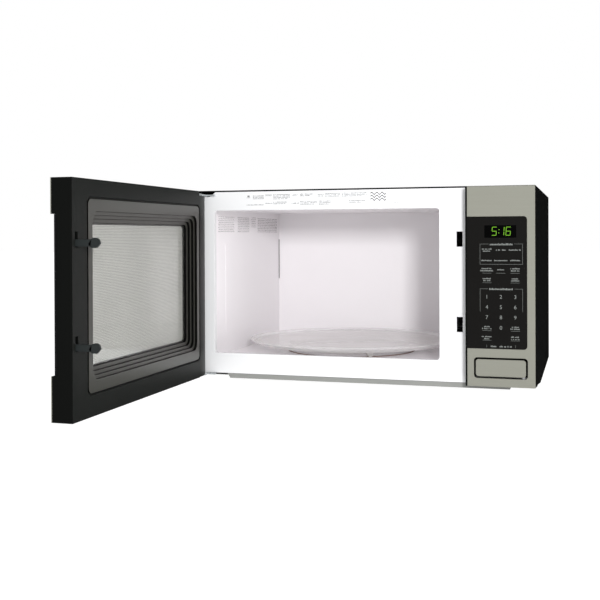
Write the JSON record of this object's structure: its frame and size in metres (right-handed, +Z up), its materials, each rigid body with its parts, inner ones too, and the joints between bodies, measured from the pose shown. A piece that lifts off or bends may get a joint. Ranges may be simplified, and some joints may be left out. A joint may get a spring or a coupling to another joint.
{
  "type": "microwave oven",
  "caption": "Countertop microwave oven: black steel case, stainless trim, side-hinged glass door standing open, push-button latch, keypad panel and glass turntable.",
  "frame": {"origin": "on the plane of the feet, under the middle of the overall box with the door standing open at 90 degrees", "axes": "+X to the right seen from the front, +Y from the front towards the back, +Z up"},
  "size_m": [0.552, 0.9212, 0.318],
  "materials": {
    "case_paint": "black textured powder coat",
    "galvanised_steel": "plain zinc coated sheet",
    "front_paint": "satin white paint",
    "cavity_paint": "satin white paint",
    "rubber_feet": "matt",
    "plated_steel": "bright zinc plated",
    "door_plastic": "fine grained black",
    "stainless_trim": "horizontally brushed stainless",
    "dark_glass": "dark tinted, polished",
    "screen_steel": "grey painted perforated sheet",
    "grey_trim": "satin grey",
    "clear_window": "clear sheet",
    "bush_nylon": "self-lubricating nylon",
    "hook_plastic": "moulded dark",
    "keypad_gloss": "polished black",
    "membrane": "printed film",
    "display_body": "dark filter",
    "circuit_board": "coated laminate",
    "button_black": "moulded",
    "latch_plastic": "black moulding",
    "switch_black": "moulded",
    "bare_aluminium": "bare pressed and turned",
    "mica": "pearly mica sheet",
    "core_steel": "varnished laminations",
    "copper_winding": "enamelled copper wire",
    "shroud_plastic": "grey moulding",
    "motor_steel": "lacquered laminations",
    "fan_plastic": "natural moulding",
    "lamp": "bulb in a ceramic holder",
    "coupler_plastic": "heat-proof moulding",
    "tray_glass": "clear pressed glass",
    "ring_plastic": "heat-proof moulding",
    "screw_black": "blackened steel"
  },
  "bodies": {
    "cabinet": {"outer_case": "case_paint", "rear_panel": "galvanised_steel", "base_plate": "galvanised_steel", "feet": "rubber_feet", "front_plate": "front_paint", "cavity_left_wall": "cavity_paint", "cavity_right_wall": "cavity_paint", "cavity_roof": "cavity_paint", "cavity_floor": "cavity_paint", "cavity_back_wall": "cavity_paint", "upper_hinge_bracket": "plated_steel", "lower_hinge_bracket": "plated_steel", "hinge_pins": "plated_steel", "control_housing": "door_plastic", "control_fascia": "stainless_trim", "keypad_overlay": "keypad_gloss", "keypad_membrane": "membrane", "display_module": "display_body", "control_board": "circuit_board", "lever_pin": "plated_steel", "latch_board": "latch_plastic", "interlock_switches": "switch_black", "magnetron": "bare_aluminium", "waveguide": "galvanised_steel", "waveguide_cover": "mica", "transformer_core": "core_steel", "transformer_windings": "copper_winding", "capacitor": "bare_aluminium", "capacitor_bracket": "galvanised_steel", "noise_filter_board": "circuit_board", "fan_shroud": "shroud_plastic", "fan_motor": "motor_steel", "cavity_lamp": "lamp", "thermal_cutouts": "switch_black", "turntable_motor": "motor_steel", "cord_gland": "rubber_feet", "case_screws": "screw_black", "chassis_screws": "plated_steel"},
    "door": {"door_frame": "door_plastic", "door_top_band": "stainless_trim", "door_bottom_band": "stainless_trim", "door_outer_glass": "dark_glass", "door_mesh_screen": "screen_steel", "door_inner_panel": "grey_trim", "door_inner_window": "clear_window", "hinge_bushes": "bush_nylon", "latch_spring": "plated_steel"},
    "hooks": {"latch_hooks": "hook_plastic"},
    "button": {"door_button_cap": "stainless_trim", "door_button_plunger": "button_black", "button_spring": "plated_steel"},
    "lever": {"release_lever": "latch_plastic"},
    "lifter": {"latch_lifter": "latch_plastic"},
    "coupler": {"drive_coupler": "coupler_plastic"},
    "tray": {"glass_tray": "tray_glass"},
    "ring": {"roller_ring": "ring_plastic"},
    "wheel_a": {"ring_wheel_a": "ring_plastic"},
    "wheel_b": {"ring_wheel_b": "ring_plastic"},
    "wheel_c": {"ring_wheel_c": "ring_plastic"},
    "fan": {"fan_blade": "fan_plastic"}
  },
  "joints": [
    {"name": "door_hinge", "type": "hinge", "parent": "cabinet", "child": "door", "pos_m": [-0.2565, -0.03255, 0.16], "axis": [0, 0, 1], "range_deg": [-15, 90]},
    {"name": "hooks_lift", "type": "slide", "parent": "door", "child": "hooks", "axis": [0, 0, 1], "range_m": [0, 0.0045], "stiffness_N_per_m": 300, "deforming": ["latch_spring"]},
    {"name": "button_press", "type": "slide", "parent": "cabinet", "child": "button", "axis": [0, 1, 0], "range_m": [0, 0.005], "stiffness_N_per_m": 400, "deforming": ["button_spring"]},
    {"name": "lever_turn", "type": "hinge", "parent": "cabinet", "child": "lever", "pos_m": [0.184, -0.00405, 0.076], "axis": [1, 0, 0], "range_deg": [0, 11.5]},
    {"name": "lifter_lift", "type": "slide", "parent": "cabinet", "child": "lifter", "axis": [0, 0, 1], "range_m": [0, 0.004]},
    {"name": "tray_turn", "type": "hinge", "parent": "cabinet", "child": "coupler", "pos_m": [-0.0528, 0.17495, 0.0426], "axis": [0, 0, 1], "continuous": true},
    {"name": "tray_lift", "type": "slide", "parent": "coupler", "child": "tray", "axis": [0, 0, 1], "range_m": [0, 0.06]},
    {"name": "ring_turn", "type": "hinge", "parent": "cabinet", "child": "ring", "pos_m": [-0.0528, 0.17495, 0.0488], "axis": [0, 0, 1], "continuous": true},
    {"name": "wheel_a_spin", "type": "hinge", "parent": "ring", "child": "wheel_a", "pos_m": [0.0022, 0.27021, 0.0488], "axis": [0.5, 0.866, 0], "continuous": true},
    {"name": "wheel_b_spin", "type": "hinge", "parent": "ring", "child": "wheel_b", "pos_m": [-0.1628, 0.17495, 0.0488], "axis": [-1, 0, 0], "continuous": true},
    {"name": "wheel_c_spin", "type": "hinge", "parent": "ring", "child": "wheel_c", "pos_m": [0.0022, 0.07969, 0.0488], "axis": [0.5, -0.866, 0], "continuous": true},
    {"name": "fan_spin", "type": "hinge", "parent": "cabinet", "child": "fan", "pos_m": [0.21, 0.39695, 0.125], "axis": [0, 1, 0], "continuous": true}
  ],
  "couplings": [
    {"joint": "lever_turn", "follows": "button_press", "rad_per_m": 40},
    {"joint": "lifter_lift", "follows": "button_press", "ratio": 0.8},
    {"joint": "ring_turn", "follows": "tray_turn", "ratio": 0.5},
    {"joint": "wheel_a_spin", "follows": "tray_turn", "ratio": -8.4615},
    {"joint": "wheel_b_spin", "follows": "tray_turn", "ratio": -8.4615},
    {"joint": "wheel_c_spin", "follows": "tray_turn", "ratio": -8.4615}
  ]
}
